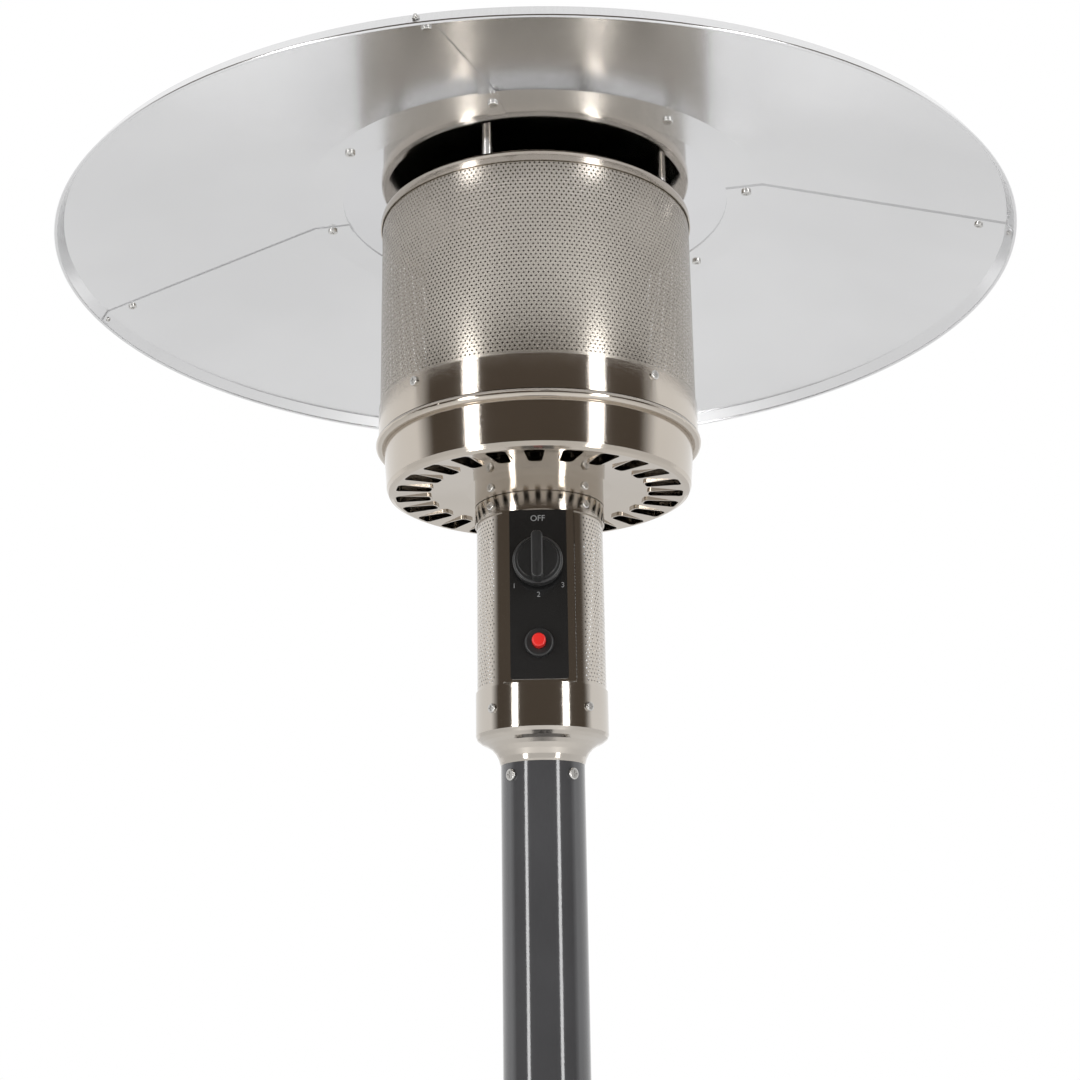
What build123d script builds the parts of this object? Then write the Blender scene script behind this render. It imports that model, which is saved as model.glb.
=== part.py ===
from build123d import *
import math
import os

# Sizes in millimetres. The floor is z = 0, the pole's axis is x = y = 0 and the front is -Y.
# Angles go round the pole from the front, and grow toward +X.

# Heights, from the reflector's lower edge
rim_height = 2115.0
flange_rise = 71.0
cap_top_rise = 57.8
cap_skirt_rise = 46.6
screen_bottom_drop = 120.2
bead_top_drop = 149.0
bead_bottom_drop = 156.6
bowl_corner_drop = 195.0
bowl_middle_drop = 190.5
ring_split_drop = 206.5
barrel_top_drop = 222.0
barrel_bottom_drop = 364.0
base_band_drop = 400.0
neck_end_drop = 423.0
knob_drop = 268.0
button_drop = 333.0

# Fits
sheet = 1.0
thin_sheet = 0.8
running_gap = 0.05
seat_gap = 0.3
lap_gap = 0.1

# Reflector
reflector_radius = 406.5
hem_radius = 1.3
lip_width = 6.0
lip_height = 11.0
crease_radius = 201.0
flange_inner_radius = 169.0
disc_radius = 203.0
seam_angle = -10.0
panel_count = 4
lap_width = 12.0
joggle_width = 2.0
flange_screw_radius = 186.0
flange_screw_count = 8
outer_screw_radius = 378.0
lip_shank = 1.2
lip_head = 2.2
lip_head_height = 1.2

# Reflector studs
stud_count = 4
stud_angle = -18.0
stud_circle_radius = 115.0
stud_radius = 3.0
stud_sleeve_radius = 4.8
stud_above_disc = 15.0
stud_below_cap = 9.0

# Emitter and burner
cap_radius = 136.0
screen_radius = 134.6
band_radius = 135.6
band_lap = 2.5
bead_radius = 3.8
bead_outer_radius = 137.7
bowl_top_radius = 131.0
bowl_corner_radius = 128.3
slot_count = 24
slot_inner_radius = 92.0
slot_outer_radius = 121.0
slot_inner_width = 10.5
slot_outer_width = 17.5
slot_lip_height = 2.2
slot_lip_width = 1.2
burner_cup_radius = 72.0
burner_cup_height = 36.0
bowl_floor_edge = 62.0
stand_radius = 88.0
inner_screen_radius = 96.0
inner_screen_rise = 24.0
mixer_radius = 15.0
mixer_wall = 1.5
pilot_reach = 17.0
collar_bore = 40.0
collar_screw_circle = 46.0

# Control housing
ring_radius = 54.3
barrel_radius = 52.8
base_band_radius = 54.0
sleeve_gap = 0.1
panel_width = 46.0
panel_top_gap = 0.6
panel_thickness = 1.6
frame_width = 58.0
frame_front = 51.0
knob_radius = 20.0
knob_length = 27.0
knob_skirt_length = 9.0
knob_grip_width = 9.0
knob_stand_off = 5.5
stem_side = 5.0
rotor_radius = 7.0
button_radius = 5.5
button_length = 10.0
bezel_radius = 11.6
bezel_length = 5.0
igniter_radius = 9.0
igniter_length = 30.0
push_travel = 4.0
button_travel = 4.5

# Pole and its foot
pole_radius = 33.9
pole_wall = 1.5
pole_foot_height = 576.0
spigot_length = 34.0
foot_spigot_length = 60.0
foot_plate_radius = 58.0
foot_plate_thickness = 4.0
gas_pipe_radius = 4.0
gas_pipe_y = -8.0
pipe_bore = 2.6

# Tank housing
housing_radius = 192.0
housing_top = 560.0
cover_top = 612.0
cover_flat_radius = 72.0
cover_bore = 38.0
grommet_gap = 0.6

# Base and legs
base_radius = 232.0
base_height = 46.0
base_sheet = 2.0
base_flange_width = 26.0
ledge_height = 8.0
ledge_radius = 190.4
leg_count = 3
leg_width = 38.0
leg_thickness = 3.0
leg_radius = 175.0
leg_bend_height = 545.0
leg_tab = 30.0

# Wheels
wheel_radius = 31.0
wheel_width = 22.0
wheel_offset = 82.0
wheel_bore = 4.2
axle_radius = 4.0
axle_height = 36.0
axle_distance = 258.0
bracket_half_width = 74.0
bracket_thickness = 3.0
bracket_bolt_x = 60.0
bracket_bolt_y = 199.0


def thick(path, thickness):
    """Closed outline of a sheet: the path, and its copy moved to the path's left."""
    moved = []
    for i, point in enumerate(path):
        before = path[max(i - 1, 0)]
        after = path[min(i + 1, len(path) - 1)]
        normals = []
        for start, end in ((before, point), (point, after)):
            run = math.hypot(end[0] - start[0], end[1] - start[1])
            if run > 0:
                normals.append(((start[1] - end[1]) / run, (end[0] - start[0]) / run))
        nx = sum(n[0] for n in normals) / len(normals)
        nz = sum(n[1] for n in normals) / len(normals)
        grow = thickness / (nx * nx + nz * nz)
        moved.append((point[0] + nx * grow, point[1] + nz * grow))
    return list(path) + moved[::-1]


def spun(outline, angle=360.0, start=0.0):
    """Solid of revolution of an (r, z) outline, from the start angle on."""
    face = Plane.XZ * make_face(Polyline(*outline, close=True))
    solid = revolve(face, Axis.Z, revolution_arc=angle)
    return Rot(0, 0, start - 90) * solid


def tube(outer, inner, bottom, top):
    """Upright round tube or ring."""
    low = (Align.CENTER, Align.CENTER, Align.MIN)
    body = Pos(0, 0, bottom) * Cylinder(outer, top - bottom, align=low)
    bore = Pos(0, 0, bottom - 1) * Cylinder(inner, top - bottom + 2, align=low)
    return body - bore


def rod(radius, start, direction, length):
    """Round bar from a start point along a direction."""
    plane = Plane(origin=start, z_dir=direction)
    return plane * Cylinder(radius, length, align=(Align.CENTER, Align.CENTER, Align.MIN))


def block(x0, x1, y0, y1, z0, z1):
    """Box between two corners."""
    middle = Pos((x0 + x1) / 2, (y0 + y1) / 2, (z0 + z1) / 2)
    return middle * Box(x1 - x0, y1 - y0, z1 - z0)


def at_angle(shape, angle):
    """A shape made at the front, turned round the pole."""
    return Rot(0, 0, angle) * shape


def around(shape, count, start):
    """Copies of a front shape at equal angles round the pole."""
    return [at_angle(shape, start + k * 360.0 / count) for k in range(count)]


def screw(place, outward, shank, length, head, head_height):
    """Pan-head screw: the head's seat lies at place, and the shank goes inward."""
    plane = Plane(origin=place, z_dir=outward)
    low = (Align.CENTER, Align.CENTER, Align.MIN)
    dome = Cylinder(head, head_height, align=low)
    dome = fillet(dome.edges().sort_by(Axis.Z)[-1], head_height * 0.45)
    cross = Pos(0, 0, head_height) * (Box(head * 1.1, 0.8, 1.4) + Box(0.8, head * 1.1, 1.4))
    dome = dome - cross
    pin = Pos(0, 0, -length) * Cylinder(shank, length + 0.2, align=low)
    return plane * (dome + pin)


def nut(place, outward, radius, height, bore):
    """Hexagon nut with its seat at place."""
    plane = Plane(origin=place, z_dir=outward)
    body = extrude(RegularPolygon(radius, 6), height)
    hole = Pos(0, 0, -1) * Cylinder(bore, height + 2, align=(Align.CENTER, Align.CENTER, Align.MIN))
    return plane * (body - hole)


def write(name, shapes):
    """One STEP file of a node; a list is a group of separate solids."""
    if not isinstance(shapes, list):
        shapes = [shapes]
    solids = [solid for shape in shapes for solid in shape.solids()]
    node = Compound(label=name, children=solids)
    export_step(node, f"parts/{name}.step")
    print(name, len(solids), round(sum(solid.volume for solid in solids)))


# Reflector

screw_shank = 1.9
screw_hole = screw_shank + running_gap
flange_z = rim_height + flange_rise
fold_radius = reflector_radius - hem_radius - lip_width
fold_z = rim_height + lip_height
cone_slope = (flange_z - fold_z) / (fold_radius - crease_radius)
lip_length = math.hypot(lip_width, lip_height - hem_radius)
lip_normal = ((lip_height - hem_radius) / lip_length, lip_width / lip_length)
lip_middle = (fold_radius + lip_width * 0.5, fold_z - (lip_height - hem_radius) * 0.5)
lap_middle = lap_width / 2


def cone_z(radius):
    """Height of the panel's underside at a distance from the pole."""
    return fold_z + (fold_radius - radius) * cone_slope


def cone_up():
    """Direction square to the panel at the front, away from its underside."""
    run = math.hypot(cone_slope, 1.0)
    return (0, -cone_slope / run, 1 / run)


def panel_path(lip_end):
    """Underside of a panel from the lip to the flange's inner edge."""
    lean = lip_width / (lip_height - hem_radius)
    lip_radius = fold_radius + lean * (fold_z - lip_end)
    return [
        (lip_radius, lip_end),
        (fold_radius, fold_z),
        (crease_radius, flange_z),
        (flange_inner_radius, flange_z),
    ]


def flange_holes(thickness, bottom):
    """Drills for the flange screws, set half a lap to the right of each seam."""
    reach = Pos(lap_middle, -flange_screw_radius, bottom - 1)
    drill = reach * Cylinder(screw_hole, thickness + 2, align=(Align.CENTER, Align.CENTER, Align.MIN))
    return around(drill, flange_screw_count, seam_angle)


def seam_points():
    """Seats of the two outer seam screws at the front: place and direction into the metal."""
    up = cone_up()
    under = -(sheet + lap_gap + running_gap)
    seam_z = cone_z(outer_screw_radius)
    panel_seat = (lap_middle, -outer_screw_radius + under * up[1], seam_z + under * up[2])
    lip_seat = (
        lap_middle,
        -(lip_middle[0] + under * lip_normal[0]),
        lip_middle[1] + under * lip_normal[1],
    )
    return [(panel_seat, up), (lip_seat, (0, -lip_normal[0], lip_normal[1]))]


def reflector_panel():
    """Quarter panel from one seam to the next, with the lap that goes under its neighbour."""
    quarter = 360.0 / panel_count
    hem_z = rim_height + hem_radius
    skin = spun(thick(panel_path(hem_z), -sheet), quarter, seam_angle)
    hem = Plane.XZ * Pos(reflector_radius - hem_radius, hem_z) * Circle(hem_radius)
    skin = skin + Rot(0, 0, seam_angle - 90) * revolve(hem, Axis.Z, revolution_arc=quarter)
    lap_end = rim_height + 2.4 * hem_radius
    low_path = thick(panel_path(lap_end), lap_gap)[4:][::-1]
    lap = spun(thick(low_path, sheet), 12, quarter - 3)
    web = spun(thick(panel_path(lap_end), sheet + lap_gap), 12, quarter - 3)
    reach = reflector_radius + 10
    high = flange_z + 20
    lap_box = block(-joggle_width, lap_width, -reach, 0, rim_height, high)
    web_box = block(-joggle_width, 0, -reach, 0, rim_height, high)
    lap = lap & at_angle(lap_box, quarter)
    web = web & at_angle(web_box, quarter)
    skin = skin + at_angle(lap + web, seam_angle)
    for drill in flange_holes(3 * sheet + lap_gap, flange_z - sheet - lap_gap):
        skin = skin - drill
    for place, direction in seam_points():
        radius = (lip_shank if place[2] < fold_z else screw_shank) + running_gap
        start = tuple(place[i] - 2.0 * direction[i] for i in range(3))
        drill = rod(radius, start, direction, 10.0)
        for turn in (0, quarter):
            skin = skin - at_angle(drill, seam_angle + turn)
    return skin


def reflector_disc():
    """Polished disc on the panels' flange."""
    bottom = flange_z + sheet
    disc = Pos(0, 0, bottom) * Cylinder(disc_radius, sheet, align=(Align.CENTER, Align.CENTER, Align.MIN))
    for drill in flange_holes(sheet, bottom):
        disc = disc - drill
    hole = rod(stud_radius + running_gap, (0, -stud_circle_radius, bottom - 1), (0, 0, 1), sheet + 2)
    for drill in around(hole, stud_count, stud_angle):
        disc = disc - drill
    return disc


def flange_screws():
    """Screws of the flange, heads below; four hold a lap as well."""
    each = 360.0 / flange_screw_count
    screws = []
    for k in range(flange_screw_count):
        on_lap = k % (flange_screw_count // panel_count) == 0
        seat = flange_z - (sheet + lap_gap if on_lap else 0)
        place = (lap_middle, -flange_screw_radius, seat)
        length = flange_z + 2 * sheet + 4.0 - seat
        fastener = screw(place, (0, 0, -1), screw_shank, length, 4.2, 2.2)
        screws.append(at_angle(fastener, seam_angle + k * each))
    return screws


def flange_nuts():
    """Nuts of the flange screws, on the disc."""
    place = (lap_middle, -flange_screw_radius, flange_z + 2 * sheet)
    return around(nut(place, (0, 0, 1), 3.9, 2.6, screw_hole), flange_screw_count, seam_angle)


def seam_screws():
    """Two screws at each seam near the rim, heads on the lap's underside."""
    screws = []
    for place, direction in seam_points():
        outward = tuple(-part for part in direction)
        length = 2 * sheet + lap_gap + 3.0
        on_lip = place[2] < fold_z
        head = lip_head if on_lip else 3.6
        height = lip_head_height if on_lip else 1.8
        shank = lip_shank if on_lip else screw_shank
        screws += around(screw(place, outward, shank, length, head, height), panel_count, seam_angle)
    return screws


def seam_nuts():
    """Nuts of the seam screws on the outer face; the lip's are flat rivet heads."""
    nuts = []
    through = 2 * sheet + lap_gap + 2 * running_gap
    (place, direction), (lip_place, lip_direction) = seam_points()
    top = tuple(place[i] + direction[i] * through for i in range(3))
    nuts += around(nut(top, direction, 3.6, 2.2, screw_hole), panel_count, seam_angle)
    lip_top = tuple(lip_place[i] + lip_direction[i] * (through + 0.2) for i in range(3))
    nuts += around(nut(lip_top, lip_direction, 2.6, 1.0, lip_shank + running_gap), panel_count, seam_angle)
    return nuts


# Studs between the emitter's cap and the reflector

cap_z = rim_height + cap_top_rise
disc_z = flange_z + sheet
disc_top = flange_z + 2 * sheet


def studs():
    """Long studs up through the cap, the sleeves and the disc."""
    start = cap_z - thin_sheet - stud_below_cap
    length = disc_top + stud_above_disc - start
    return around(rod(stud_radius, (0, -stud_circle_radius, start), (0, 0, 1), length), stud_count, stud_angle)


def stud_sleeves():
    """Sleeves that hold the reflector off the cap."""
    sleeve = tube(stud_sleeve_radius, stud_radius + running_gap, cap_z, disc_z)
    return around(Pos(0, -stud_circle_radius, 0) * sleeve, stud_count, stud_angle)


def stud_nuts():
    """Nuts under the cap."""
    place = (0, -stud_circle_radius, cap_z - thin_sheet)
    return around(nut(place, (0, 0, -1), 6.2, 5.0, stud_radius + running_gap), stud_count, stud_angle)


def wing_nut():
    """Wing nut on the disc, with its washer face."""
    low = (Align.CENTER, Align.CENTER, Align.MIN)
    body = Cylinder(8.0, 1.4, align=low) + Cone(6.5, 4.8, 8.5, align=low)
    corners = ((3.5, 1.6), (8.0, 2.6), (15.0, 9.0), (14.0, 13.0), (9.5, 12.6), (3.5, 7.2))
    wing = extrude(Plane.XZ * make_face(Polyline(*corners, close=True)), 1.3, both=True)
    wing = fillet(wing.edges().filter_by(Axis.Y), 0.9)
    body = body + wing + Rot(0, 0, 180) * wing
    bore = Pos(0, 0, -1) * Cylinder(stud_radius + running_gap, 16, align=low)
    return Pos(0, -stud_circle_radius, disc_top) * (body - bore)


# Emitter

screen_bottom = rim_height - screen_bottom_drop
cap_skirt_z = rim_height + cap_skirt_rise
bead_top = rim_height - bead_top_drop
bead_z = rim_height - (bead_top_drop + bead_bottom_drop) / 2
bowl_corner_z = rim_height - bowl_corner_drop
bowl_middle_z = rim_height - bowl_middle_drop
bowl_floor_top = bowl_middle_z + sheet
band_screw_z = screen_bottom - 5.6


def emitter_cap():
    """Cover on top of the screen, with a rounded skirt."""
    outline = [
        (0, cap_z),
        (cap_radius - 5.0, cap_z),
        (cap_radius - 2.2, cap_z - 0.9),
        (cap_radius - 0.5, cap_z - 3.4),
        (cap_radius, cap_z - 6.0),
        (cap_radius, cap_skirt_z),
    ]
    cap = spun(thick(outline, -thin_sheet))
    hole = rod(stud_radius + running_gap, (0, -stud_circle_radius, cap_z - 2), (0, 0, 1), 4)
    for drill in around(hole, stud_count, stud_angle):
        cap = cap - drill
    return cap


def emitter_screen():
    """Outer screen, from inside the band up into the cap."""
    shell = tube(screen_radius, screen_radius - thin_sheet, screen_bottom - 2 * band_lap - 6.0, cap_z - 4.0)
    for drill in around(rod(screw_hole, (0, -screen_radius - 3, band_screw_z), (0, 1, 0), 8), 4, 45):
        shell = shell - drill
    return shell


def emitter_band():
    """Plain band round the foot of the screen."""
    band = tube(band_radius, screen_radius + lap_gap, bead_top, screen_bottom)
    for drill in around(rod(screw_hole, (0, -screen_radius - 3, band_screw_z), (0, 1, 0), 8), 4, 45):
        band = band - drill
    return band


def emitter_band_screws():
    """Four screws through the band."""
    place = (0, -band_radius, band_screw_z)
    return around(screw(place, (0, -1, 0), screw_shank, 6.0, 4.0, 2.2), 4, 45)


def bowl_slot():
    """Cutter and rolled edge of one tapered slot at the front."""
    inner = slot_inner_width / 2
    outer = slot_outer_width / 2

    def wedge(grow, bottom, top):
        near = slot_inner_radius - grow
        far = slot_outer_radius + grow
        corners = ((-inner - grow, -near), (inner + grow, -near), (outer + grow, -far), (-outer - grow, -far))
        solid = extrude(Pos(0, 0, bottom) * make_face(Polyline(*corners, close=True)), top - bottom)
        return fillet(solid.edges().filter_by(Axis.Z), (inner + grow) * 0.7)

    low = bowl_corner_z - 4
    high = bowl_middle_z + 8
    cutter = wedge(0, low, high)
    edge = wedge(slot_lip_width, bowl_corner_z + sheet * 0.5, bowl_middle_z + sheet + slot_lip_height) - cutter
    return cutter, edge


def bowl_path():
    """Outer face of the bowl from the bead down and in to the bore."""
    wall_top = bead_z - bead_radius * 0.6
    return [
        (bowl_top_radius, wall_top),
        (bowl_corner_radius, bowl_corner_z + 5.0),
        (bowl_corner_radius - 1.6, bowl_corner_z + 1.5),
        (bowl_corner_radius - 5.2, bowl_corner_z),
        (bowl_floor_edge, bowl_middle_z),
        (collar_bore, bowl_middle_z),
    ]


def bowl():
    """Bowl under the emitter, with its bead and slotted underside."""
    shell = spun(thick(bowl_path(), -sheet))
    bead = Plane.XZ * Pos(bead_outer_radius - bead_radius, bead_z) * Circle(bead_radius)
    shell = shell + revolve(bead, Axis.Z)
    shell = shell + tube(bead_outer_radius - bead_radius, bowl_top_radius - sheet, bead_z - 2.6, bead_z - 0.2)
    groove_outer = screen_radius + lap_gap + 0.02
    groove_inner = screen_radius - thin_sheet - lap_gap
    shell = shell - tube(groove_outer, groove_inner, bead_z - 0.5, bead_top + 1)
    cutter, edge = bowl_slot()
    for k in range(slot_count):
        shell = shell + at_angle(edge, k * 360.0 / slot_count)
    for k in range(slot_count):
        shell = shell - at_angle(cutter, k * 360.0 / slot_count)
    for drill in around(rod(1.6, (0, -collar_screw_circle, bowl_middle_z - 1), (0, 0, 1), 4), 4, 0):
        shell = shell - drill
    return shell


def floor_top(radius):
    """Height of the bowl's floor, inside, at a distance from the pole."""
    corner = bowl_corner_radius - 5.2
    share = (corner - radius) / (corner - bowl_floor_edge)
    return bowl_corner_z + share * (bowl_middle_z - bowl_corner_z) + sheet


# Burner

cup_bottom = bowl_floor_top
cup_top = cup_bottom + burner_cup_height


def burner_cup():
    """Round cup on the bowl's floor, with the mixer's bore."""
    path = [
        (mixer_radius + running_gap, cup_bottom),
        (66.0, cup_bottom),
        (burner_cup_radius - 1.5, cup_bottom + 4.0),
        (burner_cup_radius, cup_bottom + 9.0),
        (burner_cup_radius, cup_top - 1.0),
        (burner_cup_radius + 8.0, cup_top - 1.0),
    ]
    shell = spun(thick(path, sheet))
    for drill in around(rod(1.6, (0, -collar_screw_circle, cup_bottom - 1), (0, 0, 1), 4), 4, 0):
        shell = shell - drill
    return shell


def burner_screws():
    """Screws up through sleeve flange, bowl and cup."""
    place = (0, -collar_screw_circle, bowl_middle_z - sheet)
    return around(screw(place, (0, 0, -1), 1.55, 5.0, 2.8, 1.6), 4, 0)


def burner_plate():
    """Burner's top plate with its ring of flame ports."""
    low = (Align.CENTER, Align.CENTER, Align.MIN)
    plate = Pos(0, 0, cup_top) * Cylinder(burner_cup_radius + 8.0, sheet, align=low)
    for radius, count in ((28.0, 10), (44.0, 16), (60.0, 22)):
        port = rod(2.4, (0, -radius, cup_top - 1), (0, 0, 1), 4)
        for drill in around(port, count, 0):
            plate = plate - drill
    return plate


def inner_screen():
    """Inner screen: a closed cylinder over the burner plate."""
    bottom = cup_top + sheet
    top = rim_height + inner_screen_rise
    path = [
        (inner_screen_radius + 4.0, bottom),
        (inner_screen_radius, bottom),
        (inner_screen_radius, top - 10.0),
        (inner_screen_radius - 3.0, top - 3.0),
        (inner_screen_radius - 10.0, top),
        (0, top),
    ]
    shell = spun(thick(path, thin_sheet))
    above = Cylinder(inner_screen_radius + 20, 400, align=(Align.CENTER, Align.CENTER, Align.MIN))
    return shell & Pos(0, 0, bottom) * above


def screen_stand():
    """Ring plate that carries the inner screen, on three strips from the bowl's floor."""
    stand = tube(inner_screen_radius + 6.0, burner_cup_radius + 8.1, cup_top, cup_top + sheet)
    foot_z = floor_top(stand_radius) + seat_gap
    strip = block(-4, 4, -stand_radius - 0.6, -stand_radius + 0.6, foot_z, cup_top + sheet / 2)
    for upright in around(strip, 3, 22.5):
        stand = stand + upright
    place_y = burner_cup_radius + running_gap + pilot_reach
    for x in (-10.0, 0.0, 10.0):
        stand = stand - rod(4.2, (x, place_y, cup_top - 2), (0, 0, 1), 6)
    return stand


def mixer_tube():
    """Air and gas mixer, from the jet up into the burner cup."""
    bottom = rim_height - barrel_top_drop - 6.0
    body = tube(mixer_radius, mixer_radius - mixer_wall, bottom, cup_bottom + 14.0)
    flare = tube(mixer_radius + 3.0, mixer_radius - 0.5, bottom, bottom + 2.0)
    body = body + flare
    window = block(-4.5, 4.5, -mixer_radius - 2, mixer_radius + 2, bottom + 6, bottom + 18)
    return body - window - Rot(0, 0, 90) * window


def pilot_bracket():
    """Strip on the burner cup's wall that holds the pilot parts."""
    wall = -burner_cup_radius - running_gap
    upright = block(-16, 16, wall - 1.2, wall, cup_bottom + 12, cup_top - 2.2)
    shelf = block(-16, 16, wall - pilot_reach - 5, wall, cup_top - 12, cup_top - 10.8)
    bracket = upright + shelf
    for x in (-10.0, 0.0, 10.0):
        bracket = bracket - rod(2.25, (x, wall - pilot_reach, cup_top - 20), (0, 0, 1), 20)
    inside = Cylinder(burner_cup_radius + running_gap, 60, align=(Align.CENTER, Align.CENTER, Align.MIN))
    return at_angle(bracket - Pos(0, 0, cup_bottom) * inside, 180)


def pilot_part(x, low, high, radius, tip_radius):
    """Upright rod with a wider body that stands in the pilot bracket's shelf."""
    wall = -burner_cup_radius - running_gap
    place_y = wall - pilot_reach
    body = rod(radius, (x, place_y, cup_top - 12 - low), (0, 0, 1), low + high)
    body = body + rod(3.6, (x, place_y, cup_top - 10.8), (0, 0, 1), 5.0)
    body = body + rod(tip_radius, (x, place_y, cup_top - 5.9), (0, 0, 1), 9.0)
    return at_angle(body, 180)


# Control housing

ring_split = rim_height - ring_split_drop
barrel_top = rim_height - barrel_top_drop
barrel_bottom = rim_height - barrel_bottom_drop
base_band_bottom = rim_height - base_band_drop
neck_end = rim_height - neck_end_drop
sleeve_outer = barrel_radius - thin_sheet - sleeve_gap
upper_ring_screw_z = (bowl_middle_z + ring_split) / 2
lower_ring_screw_z = (ring_split + barrel_top) / 2
base_screw_z = (barrel_bottom + base_band_bottom) / 2
barrel_end = base_screw_z - 6.0
knob_z = rim_height - knob_drop
button_z = rim_height - button_drop
split = 0.8


def side_drill(radius, z):
    """Four drills through a wall at 45 degrees."""
    return around(rod(screw_hole, (0, -radius - 6, z), (0, 1, 0), 14), 4, 45)


def upper_ring():
    """Upper half of the collar, with the flange that the bowl is screwed to."""
    ring = tube(ring_radius, sleeve_outer + sleeve_gap, ring_split + split / 2, bowl_middle_z)
    for drill in side_drill(ring_radius, upper_ring_screw_z):
        ring = ring - drill
    return ring


def lower_ring():
    """Lower half of the collar, round the top of the barrel."""
    ring = tube(ring_radius, barrel_radius + sleeve_gap / 2, barrel_top, ring_split - split / 2)
    for drill in side_drill(ring_radius, lower_ring_screw_z):
        ring = ring - drill
    return ring


def collar_sleeve():
    """Sleeve inside both rings, with a flange under the bowl."""
    wall = tube(sleeve_outer, sleeve_outer - 1.2, barrel_top + 2.0, bowl_middle_z)
    flange = tube(sleeve_outer, mixer_radius + 3.5, bowl_middle_z - sheet, bowl_middle_z)
    sleeve = wall + flange
    for z in (upper_ring_screw_z, lower_ring_screw_z):
        for drill in side_drill(ring_radius, z):
            sleeve = sleeve - drill
    for drill in around(rod(1.6, (0, -collar_screw_circle, bowl_middle_z - 3), (0, 0, 1), 6), 4, 0):
        sleeve = sleeve - drill
    return sleeve


def collar_screws():
    """Four screws in each ring."""
    screws = []
    for z in (upper_ring_screw_z, lower_ring_screw_z):
        screws += around(screw((0, -ring_radius, z), (0, -1, 0), screw_shank, 7.0, 3.6, 2.0), 4, 45)
    return screws


def barrel():
    """Barrel of the control housing, with the front window for the panel's frame."""
    shell = tube(barrel_radius, barrel_radius - thin_sheet, barrel_end, ring_split - split / 2)
    window_half = frame_width / 2 + running_gap
    window = block(-window_half, window_half, -80, 0, barrel_bottom, barrel_top - 0.4)
    shell = shell - window
    for z in (lower_ring_screw_z, base_screw_z):
        for drill in side_drill(barrel_radius, z):
            shell = shell - drill
    return shell


def base_band():
    """Plain band below the barrel and the neck that narrows to the pole."""
    low = base_band_bottom
    outline = [
        (base_band_radius, barrel_bottom),
        (base_band_radius, low + 1.0),
        (base_band_radius - 1.2, low - 2.0),
        (base_band_radius - 4.6, low - 4.6),
        (base_band_radius - 9.0, low - 6.6),
        (base_band_radius - 13.0, low - 9.4),
        (base_band_radius - 16.2, low - 13.2),
        (base_band_radius - 18.4, low - 17.6),
        (pole_radius + 0.6, neck_end + 1.6),
        (pole_radius, neck_end),
        (pole_radius - pole_wall - running_gap, neck_end),
        (pole_radius - pole_wall - running_gap, neck_end - spigot_length),
        (pole_radius - pole_wall - running_gap - 1.5, neck_end - spigot_length),
        (pole_radius - pole_wall - running_gap - 1.5, neck_end + 8.0),
        (base_band_radius - 20.0, low - 10.0),
        (base_band_radius - 14.0, low - 5.0),
        (base_band_radius - 5.0, low - 2.5),
        (barrel_radius + sleeve_gap / 2, low + 2.0),
        (barrel_radius + sleeve_gap / 2, barrel_bottom),
    ]
    body = spun(outline)
    for drill in side_drill(base_band_radius, base_screw_z):
        body = body - drill
    for drill in side_drill(pole_radius, neck_end - 10.0):
        body = body - drill
    return body


def base_band_screws():
    """Screws through the plain band into the barrel."""
    return around(screw((0, -base_band_radius, base_screw_z), (0, -1, 0), screw_shank, 6.0, 3.8, 2.2), 4, 45)


def panel_frame():
    """Channel that closes the barrel's window and carries the panel."""
    half = frame_width / 2
    top = barrel_top - 0.6
    bottom = barrel_bottom + 0.2
    front = block(-half, half, -frame_front, -frame_front + thin_sheet, bottom, top)
    sides = block(-half, -half + thin_sheet, -frame_front, -30, bottom, top)
    sides = sides + block(half - thin_sheet, half, -frame_front, -30, bottom, top)
    frame = front + sides
    frame = frame - rod(rotor_radius + 1.5, (0, -frame_front - 5, knob_z), (0, 1, 0), 20)
    frame = frame - rod(igniter_radius - 0.9, (0, -frame_front - 5, button_z), (0, 1, 0), 20)
    return frame


def control_panel():
    """Black plate on the frame's front."""
    top = barrel_top - panel_top_gap
    bottom = barrel_bottom + 2.2
    front = -frame_front - panel_thickness
    plate = block(-panel_width / 2, panel_width / 2, front, -frame_front, bottom, top)
    plate = fillet(plate.edges().filter_by(Axis.Y), 2.0)
    plate = plate - rod(rotor_radius + 1.5, (0, -frame_front - 5, knob_z), (0, 1, 0), 20)
    plate = plate - rod(igniter_radius - 0.9, (0, -frame_front - 5, button_z), (0, 1, 0), 20)
    return plate


# Valve and knob

panel_front = frame_front + panel_thickness
valve_front = 34.0
valve_back = -4.0
valve_half = 14.0
rotor_length = 22.0
knob_base = panel_front + knob_stand_off


def valve_bracket():
    """Angle strip between the panel's frame and the valve."""
    reach = frame_width / 2 - thin_sheet
    low = knob_z - 12.0
    high = knob_z + 12.0
    plate = block(-reach, reach, -40, -38.4, low, high)
    ends = block(-reach, 2.2 - frame_width / 2, -46, -38.4, low, high)
    ends = ends + block(frame_width / 2 - 2.2, reach, -46, -38.4, low, high)
    bore = rod(rotor_radius + 3.05, (0, -50, knob_z), (0, 1, 0), 30)
    return plate + ends - bore


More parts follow.
